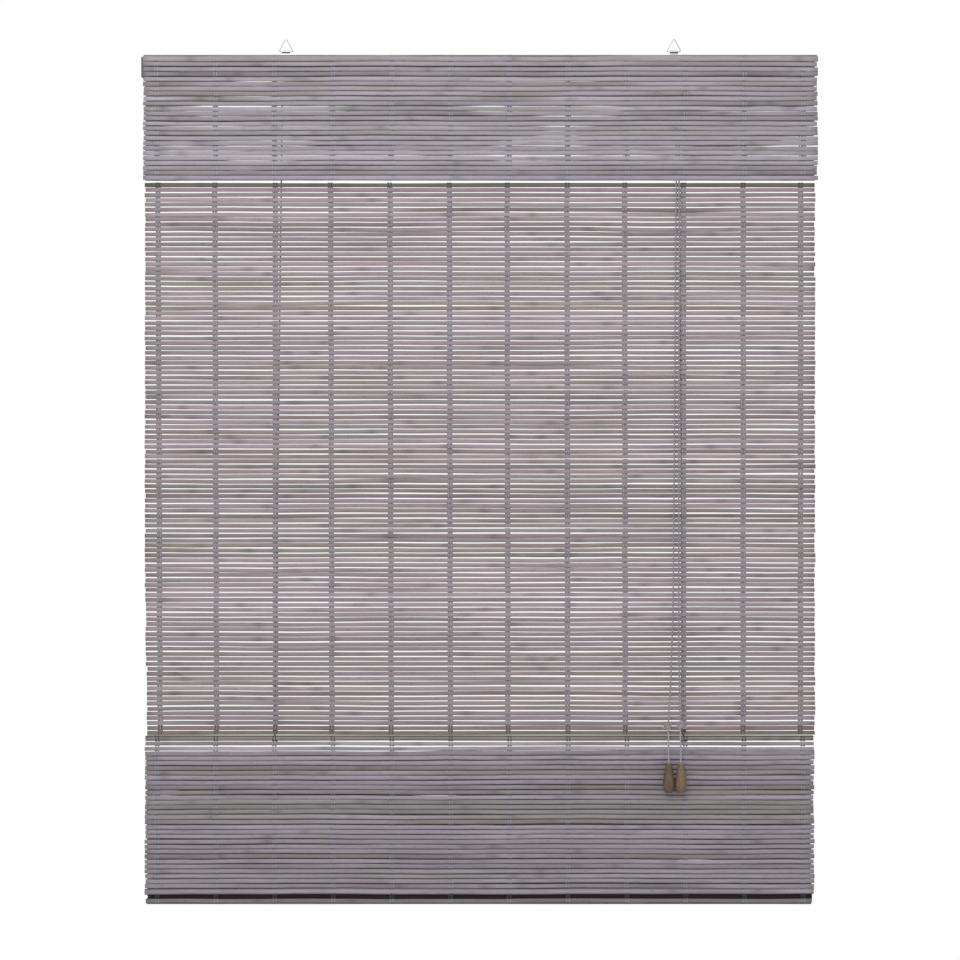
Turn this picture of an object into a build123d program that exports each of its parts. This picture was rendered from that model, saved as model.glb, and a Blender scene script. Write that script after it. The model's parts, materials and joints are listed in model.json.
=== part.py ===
"""Woven bamboo roman blind, let down: a head rail with two hanging loops, a valance, a mat of bamboo
slats that rises in pleats, a turned-up hem, two lift cords behind and two pull cords in front.
Lengths are millimetres. The wall is the plane y = 0, the room is at -Y, +Z is up, and the origin is
the middle of the head rail's back face."""
import math
import os

from build123d import *

# Bamboo mat
MAT_WIDTH = 1000.0
SLAT_PITCH = 7.37
SLAT_HEIGHT = 5.9
SLAT_THICKNESS = 1.9
SLAT_SHOULDER = 1.3
THREAD_WIDTH = 2.6
THREAD_THICKNESS = 0.5
THREAD_COLUMNS = 12
THREAD_MARGIN = 18.0
THREAD_BREAK = 0.1
TURN_BITE = 0.5
CARRIER_COLUMNS = (0, 11)

# Rows of slats in each stretch of the mat
VALANCE_TOP_ROWS = 2
VALANCE_ROWS = 25
UPPER_ROWS = 25
PLEATS = 8
ROWS_PER_PLEAT = 14
HEM_FRONT_ROWS = 33
HEM_BACK_ROWS = 30
HEM_OPEN_ROW = 32

# Wooden battens
RAIL_OVERHANG = 6.0
RAIL_DEPTH = 20.0
RAIL_HEIGHT = 30.0
RAIL_ROUNDING = 2.0
UPPER_MAT_TOP = 11.0
BOTTOM_BATTEN_INSET = 4.0
BOTTOM_BATTEN_DEPTH = 6.0
BOTTOM_BATTEN_HEIGHT = 24.0
BATTEN_CLEARANCE = 0.3
LIFT_BATTEN_INSET = 2.0
LIFT_BATTEN_HEIGHT = 6.4
LIFT_BATTEN_DROP = 0.8
VALANCE_CORNER = 2.5
HEM_TURN_RADIUS = 5.0

# Cords, guide rings and screw eyes
CORD_DIAMETER = 2.2
CORD_CLEARANCE = 0.3
RING_OUTER = 11.0
RING_BORE = 7.4
RING_THICKNESS = 1.8
RING_RISE = 5.0
EYE_OUTER = 12.0
EYE_WIRE = 2.0
EYE_SHANK_LENGTH = 12.0
EYE_NECK = 2.8
SHANK_CLEARANCE = 0.1
LIFT_CORD_LEFT_TOP_X = -295.5
LIFT_CORD_LEFT_END_X = -307.0
LIFT_CORD_RIGHT_END_X = 304.0
PULL_LEFT_EXIT_X = 293.3
PULL_RIGHT_EXIT_X = 297.0
CORD_BEND = 3.0
CORD_TAIL = 8.0
CORD_END_GAP = 0.1
LIFT_KNOT_DIAMETER = 4.6
LIFT_KNOT_HEIGHT = 3.6
HOLE_CLEARANCE = 0.4

# Wooden pulls and the knots above them
PULL_LENGTH = 43.7
PULL_DIAMETER = 17.6
PULL_NECK_DIAMETER = 8.6
PULL_FOOT_DIAMETER = 8.4
PULL_BELLY_SHARE = 0.71
PULL_SHOULDER_SHARE = 0.5
PULL_SHOULDER_DIAMETER = 15.8
PULL_NECK_SHARE = 0.03
PULL_TOP_Z = -1039.7
PULL_LEFT_X = 281.0
PULL_RIGHT_X = 299.2
PULL_STANDOFF = 0.5
PULL_BORE_DEPTH = 14.0
PULL_CORD_SEATED = 12.0
KNOT_HEIGHT = 7.0
KNOT_DIAMETER = 7.0
KNOT_LEFT_X = 280.4
KNOT_RIGHT_X = 298.2
KNOT_Z = -983.0
VALANCE_LEAVE_DROP = 6.0

# Hanging loops and their straps
LOOP_SPACING = 582.0
LOOP_WIDTH = 22.0
LOOP_HEIGHT = 20.5
LOOP_WIRE = 1.5
LOOP_CORNER = 2.0
LOOP_PIN_RISE = 10.0
STRAP_WIDTH = 12.0
STRAP_THICKNESS = 0.9
STRAP_LENGTH = 27.5
KNUCKLE_DIAMETER = 3.5
PIN_CLEARANCE = 0.08
STRAP_CLEARANCE = 0.1
SCREW_DIAMETER = 2.6
SCREW_LENGTH = 12.0
SCREW_HEAD_DIAMETER = 5.2
SCREW_SPACING = 10.0
SCREW_TOP_DROP = 6.0

# Planes and heights that follow from the sizes above
RAIL_LENGTH = MAT_WIDTH + RAIL_OVERHANG
BOTTOM_BATTEN_LENGTH = MAT_WIDTH - 2 * BOTTOM_BATTEN_INSET
LIFT_BATTEN_LENGTH = MAT_WIDTH - 2 * LIFT_BATTEN_INSET
MAT_DEPTH = SLAT_THICKNESS + 2 * THREAD_THICKNESS
MAT_BACK_Y = -RAIL_DEPTH
MAT_MID_Y = MAT_BACK_Y - MAT_DEPTH / 2
MAT_FRONT_Y = MAT_BACK_Y - MAT_DEPTH
PULL_CORD_Y = MAT_FRONT_Y - CORD_CLEARANCE - CORD_DIAMETER / 2
VALANCE_BACK_Y = PULL_CORD_Y - CORD_DIAMETER / 2 - CORD_CLEARANCE
VALANCE_MID_Y = VALANCE_BACK_Y - MAT_DEPTH / 2
RAIL_TOP_Z = RAIL_HEIGHT / 2
VALANCE_TOP_MID_Z = RAIL_TOP_Z + MAT_DEPTH / 2
VALANCE_CORNER_Z = VALANCE_TOP_MID_Z - VALANCE_CORNER
VALANCE_BOTTOM_Z = VALANCE_CORNER_Z - VALANCE_ROWS * SLAT_PITCH
FIRST_FOLD_Z = UPPER_MAT_TOP - UPPER_ROWS * SLAT_PITCH
PLEAT_HEIGHT = ROWS_PER_PLEAT * SLAT_PITCH
LAST_FOLD_Z = FIRST_FOLD_Z - PLEATS * PLEAT_HEIGHT
HEM_TURN_Z = LAST_FOLD_Z - HEM_FRONT_ROWS * SLAT_PITCH
CORD_Y = MAT_BACK_Y + RING_OUTER / 2
LIFT_BATTEN_TOP_Z = LAST_FOLD_Z - LIFT_BATTEN_DROP
LIFT_BATTEN_END_Z = LIFT_BATTEN_TOP_Z - LIFT_BATTEN_HEIGHT
EYE_MID_Z = -RAIL_TOP_Z - EYE_NECK - EYE_OUTER / 2
ROWS_ABOVE_FOLD = round((EYE_MID_Z - EYE_OUTER / 2 + EYE_WIRE - FIRST_FOLD_Z) / SLAT_PITCH)
CROSS_CORD_Z = FIRST_FOLD_Z + ROWS_ABOVE_FOLD * SLAT_PITCH
PULL_Y = MAT_FRONT_Y - PULL_STANDOFF - PULL_DIAMETER / 2
THREAD_STEP = (MAT_WIDTH - 2 * THREAD_MARGIN) / (THREAD_COLUMNS - 1)
THREAD_X = [-MAT_WIDTH / 2 + THREAD_MARGIN + i * THREAD_STEP for i in range(THREAD_COLUMNS)]
EYE_LEFT_PLACE = (LIFT_CORD_LEFT_TOP_X + EYE_OUTER / 2, CORD_Y)
EYE_RIGHT_PLACE = ((PULL_LEFT_EXIT_X + PULL_RIGHT_EXIT_X) / 2, CORD_Y - CORD_BEND)


def flat_path(top, count):
    """The line, drawn as (y, z), that a hanging stretch follows; out is how far in front of its middle."""
    def path(out, trim=THREAD_BREAK / 2):
        y = MAT_MID_Y - out
        return Wire([Edge.make_line((y, top - trim), (y, top - count * SLAT_PITCH + trim))])
    return path


def valance_path(out, trim=THREAD_BREAK / 2):
    """Forward over the top of the rail, round its front edge and down."""
    corner = Vector(VALANCE_MID_Y + VALANCE_CORNER, VALANCE_CORNER_Z)
    radius = VALANCE_CORNER + out
    half = radius / math.sqrt(2)
    back_y = corner.X + VALANCE_TOP_ROWS * SLAT_PITCH - trim
    over = Edge.make_line((back_y, corner.Y + radius), (corner.X, corner.Y + radius))
    turn = Edge.make_three_point_arc(corner + Vector(0, radius), corner + Vector(-half, half),
                                     corner + Vector(-radius, 0))
    down = Edge.make_line((corner.X - radius, corner.Y), (corner.X - radius, VALANCE_BOTTOM_Z + trim))
    return Wire([over, turn, down])


def hem_path(out, trim=THREAD_BREAK / 2):
    """Down the front, round the bottom batten and up again behind."""
    middle = Vector(MAT_MID_Y + HEM_TURN_RADIUS, HEM_TURN_Z)
    radius = HEM_TURN_RADIUS + out
    front_y = middle.X - radius
    back_y = middle.X + radius
    down = Edge.make_line((front_y, LAST_FOLD_Z - trim), (front_y, middle.Y))
    turn = Edge.make_three_point_arc((front_y, middle.Y), middle + Vector(0, -radius), (back_y, middle.Y))
    up = Edge.make_line((back_y, middle.Y), (back_y, middle.Y + HEM_BACK_ROWS * SLAT_PITCH))
    return Wire([down, turn, up])


def slat_at(path, distance):
    """One slat: flat behind, a low ridge in front, laid across the path."""
    line = path(0, 0)
    share = distance / line.length
    plane = Plane(origin=line.position_at(share), x_dir=line.tangent_at(share), z_dir=(0, 0, -1))
    back = -SLAT_THICKNESS / 2
    half = SLAT_HEIGHT / 2
    shoulder = back + SLAT_SHOULDER
    profile = Polygon((-half, back), (half, back), (half, shoulder), (0, -back), (-half, shoulder), align=None)
    return extrude(Plane.YZ * (plane * profile), MAT_WIDTH / 2, both=True)


def thread_at(path, x, inner, outer):
    """One warp thread: a flat strip along the path, from inner to outer in front of its middle."""
    strip = trace(path((inner + outer) / 2), line_width=outer - inner)
    return extrude(Plane.YZ.offset(x) * strip, THREAD_WIDTH / 2, both=True)


def woven_mat(path, distances, bite=0.0):
    """The slats with the two threads that carry them as one wall, and the other threads by themselves.
    Round a turn a thread meets the flat back of a slat on one line, so there it bites into the slats."""
    face = SLAT_THICKNESS / 2
    wall = Part() + [slat_at(path, distance) for distance in distances]
    wall += [thread_at(path, THREAD_X[i], -face - THREAD_THICKNESS, -face + bite) for i in CARRIER_COLUMNS]
    front = [thread_at(path, x, face, face + THREAD_THICKNESS) for x in THREAD_X]
    behind = [thread_at(path, x, -face - THREAD_THICKNESS, -face)
              for i, x in enumerate(THREAD_X) if i not in CARRIER_COLUMNS]
    return wall, Compound(front + behind)


def rows(count, start=0.0):
    """Distances along a path to the middle of each row of slats."""
    return [start + (i + 0.5) * SLAT_PITCH for i in range(count)]


def hem_rows():
    """The hem's rows; one is left open just above the turn, and the bottom batten shows there."""
    distances = rows(int(hem_path(0, 0).length / SLAT_PITCH))
    return distances[:HEM_OPEN_ROW] + distances[HEM_OPEN_ROW + 1:]


def cord_x(z, top_x, end_x):
    """A lift cord leans a little: its x at a height."""
    share = (CROSS_CORD_Z - CORD_TAIL - z) / (CROSS_CORD_Z - CORD_TAIL - LIFT_BATTEN_END_Z)
    return top_x + (end_x - top_x) * share


def tube(points, radii):
    """A cord along straight runs joined by tangent arcs."""
    path = FilletPolyline(*points, radius=radii) if radii else Line(*points)
    start = Plane(origin=path @ 0, z_dir=path % 0)
    return sweep(start * Circle(CORD_DIAMETER / 2), path=path)


def easy_radius(before, corner, after):
    """The largest arc that two runs of a cord leave room for."""
    runs = (Vector(*corner) - Vector(*before), Vector(*after) - Vector(*corner))
    half_turn = math.radians(runs[0].get_angle(runs[1])) / 2
    return 0.45 * min(runs[0].length, runs[1].length) / math.tan(half_turn)


def head_rail():
    """Planed batten, rebated behind for the two straps, with pilot holes for their screws and the eyes."""
    rail = Pos(-RAIL_OVERHANG / 2, -RAIL_DEPTH / 2, 0) * Box(RAIL_LENGTH, RAIL_DEPTH, RAIL_HEIGHT)
    rail = fillet(rail.edges().filter_by(Axis.X), RAIL_ROUNDING)
    rebate_foot = pin_centre(1).Z - STRAP_LENGTH - STRAP_CLEARANCE
    rebate = Box(STRAP_WIDTH + 2 * STRAP_CLEARANCE, STRAP_THICKNESS, RAIL_TOP_Z - rebate_foot,
                 align=(Align.CENTER, Align.MAX, Align.MIN))
    for side in (-1, 1):
        rail -= Pos(pin_centre(side).X, 0, rebate_foot) * rebate
    for x, z in screw_places():
        rail -= Pos(x, 0, z) * countersunk_screw(SHANK_CLEARANCE)
    eye_hole = Cylinder(EYE_WIRE / 2 + SHANK_CLEARANCE, EYE_SHANK_LENGTH, align=(Align.CENTER, Align.CENTER, Align.MIN))
    for x, y in (EYE_LEFT_PLACE, EYE_RIGHT_PLACE):
        rail -= Pos(x, y, -RAIL_TOP_Z) * eye_hole
    return rail


def screw_eye(place, turn):
    """A ring of wire on a shank that stands in the rail; turn sets which way the ring faces."""
    ring = Rot(90, 0, 0) * Torus(EYE_OUTER / 2 - EYE_WIRE / 2, EYE_WIRE / 2)
    stem_top = EYE_OUTER / 2 + EYE_NECK + EYE_SHANK_LENGTH - SHANK_CLEARANCE
    stem_foot = EYE_OUTER / 2 - EYE_WIRE / 2
    stem = Pos(0, 0, stem_foot) * Cylinder(EYE_WIRE / 2, stem_top - stem_foot,
                                           align=(Align.CENTER, Align.CENTER, Align.MIN))
    return Pos(*place, EYE_MID_Z) * Rot(0, 0, turn) * (ring + stem)


def screw_places():
    """Two screws in each strap."""
    first = RAIL_TOP_Z - SCREW_TOP_DROP
    return [(side * LOOP_SPACING / 2, first - i * SCREW_SPACING) for side in (-1, 1) for i in range(2)]


def pin_centre(side):
    """The middle of a loop's lower bar, where it turns in its strap."""
    return Vector(side * LOOP_SPACING / 2, -KNUCKLE_DIAMETER / 2, RAIL_TOP_Z + LOOP_PIN_RISE)


def countersunk_screw(clearance=0.0):
    """A wood screw with its flat head in the wall's plane; clearance makes it the hole that it sits in."""
    head = SCREW_HEAD_DIAMETER / 2 + clearance
    shank = SCREW_DIAMETER / 2 + clearance
    tip = SCREW_LENGTH + clearance
    half_section = Polygon((0, 0), (head, 0), (shank, -(head - shank)), (shank, -tip), (0, -tip), align=None)
    return Rot(-90, 0, 0) * revolve(Plane.XZ * half_section, Axis.Z)


def hanger_strap(side):
    """A strip of sheet metal let into the back of the rail, rolled round the loop's lower bar at its top."""
    pin = pin_centre(side)
    strap = Pos(pin.X, -STRAP_THICKNESS / 2, pin.Z - STRAP_LENGTH / 2) * Box(
        STRAP_WIDTH, STRAP_THICKNESS, STRAP_LENGTH)
    strap += Pos(pin) * Rot(0, 90, 0) * Cylinder(KNUCKLE_DIAMETER / 2, STRAP_WIDTH)
    strap -= Pos(pin) * Rot(0, 90, 0) * Cylinder(LOOP_WIRE / 2 + PIN_CLEARANCE, STRAP_WIDTH)
    for x, z in screw_places():
        if x * side > 0:
            strap -= Pos(x, 0, z) * countersunk_screw(SHANK_CLEARANCE)
    return strap


def hanging_loop(side):
    """A triangle of round wire, its lower bar through the strap's knuckle."""
    pin = pin_centre(side)
    half = LOOP_WIDTH / 2
    corners = [(0, 0), (half, 0), (0, LOOP_HEIGHT), (-half, 0), (0, 0)]
    line = FilletPolyline(*[(x, 0, z) for x, z in corners[1:4]], radius=LOOP_CORNER, close=True)
    start = Plane(origin=line @ 0, z_dir=line % 0)
    return Pos(pin) * sweep(start * Circle(LOOP_WIRE / 2), path=line)


def strap_screws():
    """Four countersunk screws, two through each strap."""
    return Compound([Pos(x, 0, z) * countersunk_screw() for x, z in screw_places()])


def guide_rings(fold_z):
    """Two flat rings stitched behind the mat, one for each lift cord, just above a rear fold."""
    ring = Cylinder(RING_OUTER / 2, RING_THICKNESS) - Cylinder(RING_BORE / 2, RING_THICKNESS)
    z = fold_z + RING_RISE
    ends = [(LIFT_CORD_LEFT_TOP_X, LIFT_CORD_LEFT_END_X), (PULL_RIGHT_EXIT_X, LIFT_CORD_RIGHT_END_X)]
    return Compound([Pos(cord_x(z, *end), CORD_Y, z) * ring for end in ends])


def lift_batten():
    """The thin batten behind the mat that the lift cords raise, bored for them."""
    middle_z = LIFT_BATTEN_TOP_Z - LIFT_BATTEN_HEIGHT / 2
    batten = Pos(0, CORD_Y, middle_z) * Box(LIFT_BATTEN_LENGTH, RING_OUTER, LIFT_BATTEN_HEIGHT)
    bore = Cylinder(CORD_DIAMETER / 2 + HOLE_CLEARANCE, LIFT_BATTEN_HEIGHT)
    for x in (LIFT_CORD_LEFT_END_X, LIFT_CORD_RIGHT_END_X):
        batten -= Pos(x, CORD_Y, middle_z) * bore
    return batten


def lift_knot(x):
    """The knot that holds a lift cord under the lift batten."""
    knot = Cylinder(LIFT_KNOT_DIAMETER / 2, LIFT_KNOT_HEIGHT, align=(Align.CENTER, Align.CENTER, Align.MAX))
    knot = fillet(knot.edges().filter_by(GeomType.CIRCLE), LIFT_KNOT_HEIGHT * 0.35)
    return Pos(x, CORD_Y, LIFT_BATTEN_END_Z) * knot


def bottom_batten():
    """The weight in the turn of the hem, with a round lower edge."""
    middle_y = MAT_MID_Y + HEM_TURN_RADIUS
    foot_z = HEM_TURN_Z - HEM_TURN_RADIUS + MAT_DEPTH / 2 + BATTEN_CLEARANCE
    batten = Pos(0, middle_y, foot_z + BOTTOM_BATTEN_HEIGHT / 2) * Box(
        BOTTOM_BATTEN_LENGTH, BOTTOM_BATTEN_DEPTH, BOTTOM_BATTEN_HEIGHT)
    return fillet(batten.edges().filter_by(Axis.X).group_by(Axis.Z)[0], BOTTOM_BATTEN_DEPTH * 0.49)


def wooden_pull(x):
    """A turned pear-shaped pull, bored from the top for its cord."""
    foot = PULL_FOOT_DIAMETER / 2
    neck = PULL_NECK_DIAMETER / 2
    belly = PULL_DIAMETER / 2
    widest = Vector(belly, -PULL_LENGTH * PULL_BELLY_SHARE)
    slope = Vector(PULL_SHOULDER_DIAMETER / 2, -PULL_LENGTH * PULL_SHOULDER_SHARE)
    throat = Vector(neck, -PULL_LENGTH * PULL_NECK_SHARE)
    cup = TangentArc(widest, (foot, -PULL_LENGTH), tangent=(0, -1))
    shoulder = TangentArc(widest, slope, tangent=(0, 1))
    rest = Polyline(slope, throat, (neck * 0.8, 0), (0, 0), (0, -PULL_LENGTH), (foot, -PULL_LENGTH))
    half_section = make_face([cup.edge(), shoulder.edge(), *rest.edges()])
    turned = revolve(Plane.XZ * half_section, Axis.Z)
    bore = Cylinder(CORD_DIAMETER / 2 + HOLE_CLEARANCE, PULL_BORE_DEPTH, align=(Align.CENTER, Align.CENTER, Align.MAX))
    return Pos(x, PULL_Y, PULL_TOP_Z) * (turned - bore)


def knot_y():
    """The pull cords come forward evenly from the valance's foot to the pulls."""
    leave_z = VALANCE_BOTTOM_Z - VALANCE_LEAVE_DROP
    share = (leave_z - KNOT_Z) / (leave_z - PULL_TOP_Z)
    return PULL_CORD_Y + (PULL_Y - PULL_CORD_Y) * share


def pull_cord_points(exit_x, knot_x, pull_x):
    """A pull cord's route: down behind the valance, past its foot, through the knot and into the pull."""
    leave = (exit_x, PULL_CORD_Y, VALANCE_BOTTOM_Z - VALANCE_LEAVE_DROP)
    knot = (knot_x, knot_y(), KNOT_Z)
    seat = (pull_x, PULL_Y, PULL_TOP_Z)
    return [(exit_x, PULL_CORD_Y, CROSS_CORD_Z - CORD_TAIL), leave, knot, seat,
            (pull_x, PULL_Y, PULL_TOP_Z - PULL_CORD_SEATED)]


def pull_cord(exit_x, knot_x, pull_x):
    """The free cord from the mat's top to its pull; its arcs are as large as the runs allow."""
    points = pull_cord_points(exit_x, knot_x, pull_x)
    radii = [easy_radius(*points[i - 1:i + 2]) for i in range(1, len(points) - 1)]
    cord = tube(points, radii)
    print("pull cord arcs", [round(r) for r in radii], "volume share",
          round(cord.volume / (math.pi * CORD_DIAMETER ** 2 / 4 * FilletPolyline(*points, radius=radii).length), 4))
    return cord


def cord_knot(x):
    """The overhand knot above a pull, bored where the cord runs through."""
    knot = Cylinder(KNOT_DIAMETER / 2, KNOT_HEIGHT)
    knot = fillet(knot.edges().filter_by(GeomType.CIRCLE), KNOT_DIAMETER * 0.3)
    knot -= Cylinder(CORD_DIAMETER / 2 + HOLE_CLEARANCE / 2, KNOT_HEIGHT)
    return Pos(x, knot_y(), KNOT_Z) * knot


def cross_cord(start_x, exit_x):
    """A cord from the top of its lift stretch, under the rail and forward between two slats."""
    low = CROSS_CORD_Z - CORD_TAIL
    points = [(start_x, CORD_Y, low), (start_x, CORD_Y, CROSS_CORD_Z)]
    if start_x != exit_x:
        points.append((exit_x, CORD_Y, CROSS_CORD_Z))
    points += [(exit_x, PULL_CORD_Y, CROSS_CORD_Z), (exit_x, PULL_CORD_Y, low)]
    front_bend = MAT_FRONT_Y + THREAD_THICKNESS - PULL_CORD_Y
    return tube(points, [CORD_BEND] * (len(points) - 3) + [front_bend])


def cord_passages():
    """Where the two pull cords press the slats apart and come through the mat."""
    passage = Rot(90, 0, 0) * Cylinder(CORD_DIAMETER / 2 + CORD_CLEARANCE / 2, MAT_DEPTH * 2)
    return [Pos(x, MAT_MID_Y, CROSS_CORD_Z) * passage for x in (PULL_LEFT_EXIT_X, PULL_RIGHT_EXIT_X)]


def lift_cord(top_x, end_x):
    """The taut cord behind the mat, through the guide rings to the knot under the lift batten."""
    top = (top_x, CORD_Y, CROSS_CORD_Z - CORD_TAIL)
    return tube([top, (end_x, CORD_Y, LIFT_BATTEN_END_Z + CORD_END_GAP)], [])


def build():
    """Every piece by the name of its node."""
    parts = {"head_rail": head_rail()}
    stretches = {"valance": (valance_path, rows(VALANCE_TOP_ROWS) + rows(
                     VALANCE_ROWS, VALANCE_TOP_ROWS * SLAT_PITCH + VALANCE_CORNER * math.pi / 2)),
                 "upper": (flat_path(UPPER_MAT_TOP, UPPER_ROWS), rows(UPPER_ROWS)),
                 "hem": (hem_path, hem_rows())}
    for n in range(PLEATS):
        path = flat_path(FIRST_FOLD_Z - n * PLEAT_HEIGHT, ROWS_PER_PLEAT)
        stretches[f"pleat_{n + 1}"] = (path, rows(ROWS_PER_PLEAT))
    for name, (path, distances) in stretches.items():
        parts[f"{name}_mat"], parts[f"{name}_threads"] = woven_mat(
            path, distances, TURN_BITE if path is hem_path else 0.0)
    parts["upper_mat"] -= cord_passages()
    parts["bottom_batten"] = bottom_batten()
    parts["lift_batten"] = lift_batten()
    parts["screw_eye_left"] = screw_eye(EYE_LEFT_PLACE, 90)
    parts["screw_eye_right"] = screw_eye(EYE_RIGHT_PLACE, 0)
    for side, name in ((-1, "left"), (1, "right")):
        parts[f"hanger_strap_{name}"] = hanger_strap(side)
        parts[f"hanging_loop_{name}"] = hanging_loop(side)
    parts["strap_screws"] = strap_screws()
    for n in range(0, PLEATS, 2):
        parts[f"guide_rings_{n // 2 + 1}"] = guide_rings(FIRST_FOLD_Z - n * PLEAT_HEIGHT)
    parts["lift_cord_left"] = lift_cord(LIFT_CORD_LEFT_TOP_X, LIFT_CORD_LEFT_END_X)
    parts["lift_cord_right"] = lift_cord(PULL_RIGHT_EXIT_X, LIFT_CORD_RIGHT_END_X)
    parts["lift_knot_left"] = lift_knot(LIFT_CORD_LEFT_END_X)
    parts["lift_knot_right"] = lift_knot(LIFT_CORD_RIGHT_END_X)
    parts["cross_cord_left"] = cross_cord(LIFT_CORD_LEFT_TOP_X, PULL_LEFT_EXIT_X)
    parts["cross_cord_right"] = cross_cord(PULL_RIGHT_EXIT_X, PULL_RIGHT_EXIT_X)
    parts["pull_cord_left"] = pull_cord(PULL_LEFT_EXIT_X, KNOT_LEFT_X, PULL_LEFT_X)
    parts["pull_cord_right"] = pull_cord(PULL_RIGHT_EXIT_X, KNOT_RIGHT_X, PULL_RIGHT_X)
    parts["cord_knot_left"] = cord_knot(KNOT_LEFT_X)
    parts["cord_knot_right"] = cord_knot(KNOT_RIGHT_X)
    parts["wooden_pull_left"] = wooden_pull(PULL_LEFT_X)
    parts["wooden_pull_right"] = wooden_pull(PULL_RIGHT_X)
    return parts


PARTS = build()
os.makedirs("parts", exist_ok=True)
for node, shape in PARTS.items():
    export_step(shape, f"parts/{node}.step")
print(len(PARTS), "nodes; first fold", FIRST_FOLD_Z, "last fold", LAST_FOLD_Z, "pleat", PLEAT_HEIGHT)
print("fold axes y", round(MAT_FRONT_Y, 3), round(MAT_BACK_Y, 3), "valance foot", round(VALANCE_BOTTOM_Z, 2))
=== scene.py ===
# %% [markdown]
# # A woven bamboo blind, let down
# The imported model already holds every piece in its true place: a head rail, a mat of bamboo slats held
# by twelve columns of thread, a valance, a turned-up hem, and the cords that draw it up. This lesson
# gives those pieces their looks. The slats and threads are made again in fine detail, the cords are
# twisted, and the wood and metal get their finishes.

# %% Load the frame
import json
import math

import bpy
import numpy as np
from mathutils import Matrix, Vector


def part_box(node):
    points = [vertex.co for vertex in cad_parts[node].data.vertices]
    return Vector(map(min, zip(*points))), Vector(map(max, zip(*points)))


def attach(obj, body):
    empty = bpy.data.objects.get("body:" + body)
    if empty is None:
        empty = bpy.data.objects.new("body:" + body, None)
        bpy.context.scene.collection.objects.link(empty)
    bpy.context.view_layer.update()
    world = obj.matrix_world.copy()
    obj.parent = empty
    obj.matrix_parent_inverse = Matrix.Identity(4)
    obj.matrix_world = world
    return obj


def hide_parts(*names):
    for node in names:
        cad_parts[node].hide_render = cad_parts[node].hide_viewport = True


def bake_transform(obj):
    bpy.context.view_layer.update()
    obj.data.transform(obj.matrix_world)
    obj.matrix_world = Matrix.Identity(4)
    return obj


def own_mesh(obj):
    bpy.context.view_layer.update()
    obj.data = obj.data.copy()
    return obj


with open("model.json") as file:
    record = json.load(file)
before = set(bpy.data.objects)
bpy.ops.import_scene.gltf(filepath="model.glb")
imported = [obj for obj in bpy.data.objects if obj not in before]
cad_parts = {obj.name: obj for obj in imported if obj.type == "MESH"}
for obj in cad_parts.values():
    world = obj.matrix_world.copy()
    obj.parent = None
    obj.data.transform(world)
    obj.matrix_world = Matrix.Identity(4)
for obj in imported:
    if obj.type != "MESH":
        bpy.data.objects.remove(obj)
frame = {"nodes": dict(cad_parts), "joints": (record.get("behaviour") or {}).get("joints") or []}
joints = {joint["name"]: joint["pos_m"] for joint in frame["joints"] if joint["type"] == "hinge"}
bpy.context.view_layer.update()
scene = bpy.context.scene

# %% [markdown]
# ## Camera
# The blind was photographed square on, from far enough away that its sides stay parallel. A lens
# narrows the view as its focal length grows, so the length follows from the distance and from the
# width that the picture takes in, which is 1.433 m for slats one metre long.

# %% Camera
VIEW_WIDTH = 1.4328
VIEW_DISTANCE = 4.0
VIEW_HEIGHT = -0.6173
SENSOR_WIDTH = 36.0

lens = bpy.data.cameras.new("camera")
lens.sensor_width = SENSOR_WIDTH
lens.lens = SENSOR_WIDTH * VIEW_DISTANCE / VIEW_WIDTH
camera = bpy.data.objects.new("camera", lens)
camera.location = (0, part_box("upper_mat")[0].y - VIEW_DISTANCE, VIEW_HEIGHT)
camera.rotation_euler = (math.radians(90), 0, 0)
scene.collection.objects.link(camera)
scene.camera = camera
print(f"a {lens.lens:.0f} mm lens, {VIEW_DISTANCE} m away")

# %% [markdown]
# ## Colours and shader nodes
# A hex code is written for a screen, but Blender adds up light, so a code is turned to linear values
# first. Every material below is a small graph of nodes. One helper adds a node, sets its properties,
# and fills each input with a value or with a link from another node.

# %% Colour and node helpers
def linear(code):
    """An sRGB hex code as linear red, green, blue and alpha."""
    parts = [int(code[i:i + 2], 16) / 255 for i in (1, 3, 5)]
    return tuple(c / 12.92 if c <= 0.04045 else ((c + 0.055) / 1.055) ** 2.4 for c in parts) + (1.0,)


def add(tree, kind, settings=None, **inputs):
    """Add a node; an input named x_y is the socket 'X Y', given a value or another node's output."""
    node = tree.nodes.new(kind)
    for key, value in (settings or {}).items():
        setattr(node, key, value)
    names = [socket.name.lower().replace(" ", "_") for socket in node.inputs]
    for key, value in inputs.items():
        socket = node.inputs[int(key[1:]) if key[1:].isdigit() else names.index(key)]
        if isinstance(value, bpy.types.NodeSocket):
            tree.links.new(value, socket)
        else:
            socket.default_value = value
    return node


def new_material(name):
    """An empty material, with its node tree and its output."""
    material = bpy.data.materials.new(name)
    material.use_nodes = True
    material.node_tree.nodes.clear()
    return material, material.node_tree


print("grey bamboo in linear light:", [round(c, 3) for c in linear("#9b9395")])

# %% [markdown]
# ## Grey-washed bamboo
# The slats are split bamboo culm under a thin grey wash, so the colour of the fibre shows through:
# mauve, olive or brown from one slat to the next, and along each slat. That broad colour is stored
# on the mesh as an attribute, and the shader adds the fibre, which runs along the slat in streaks
# under a millimetre wide and several centimetres long. The wash is matt, so roughness stays high,
# and the streaks also lift the surface a little.

# %% Bamboo material
FIBRE_WIDTH = 0.0007
FIBRE_LENGTH = 0.035
STAIN_LENGTH = 0.012
STAIN_WIDTH = 0.002


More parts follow.
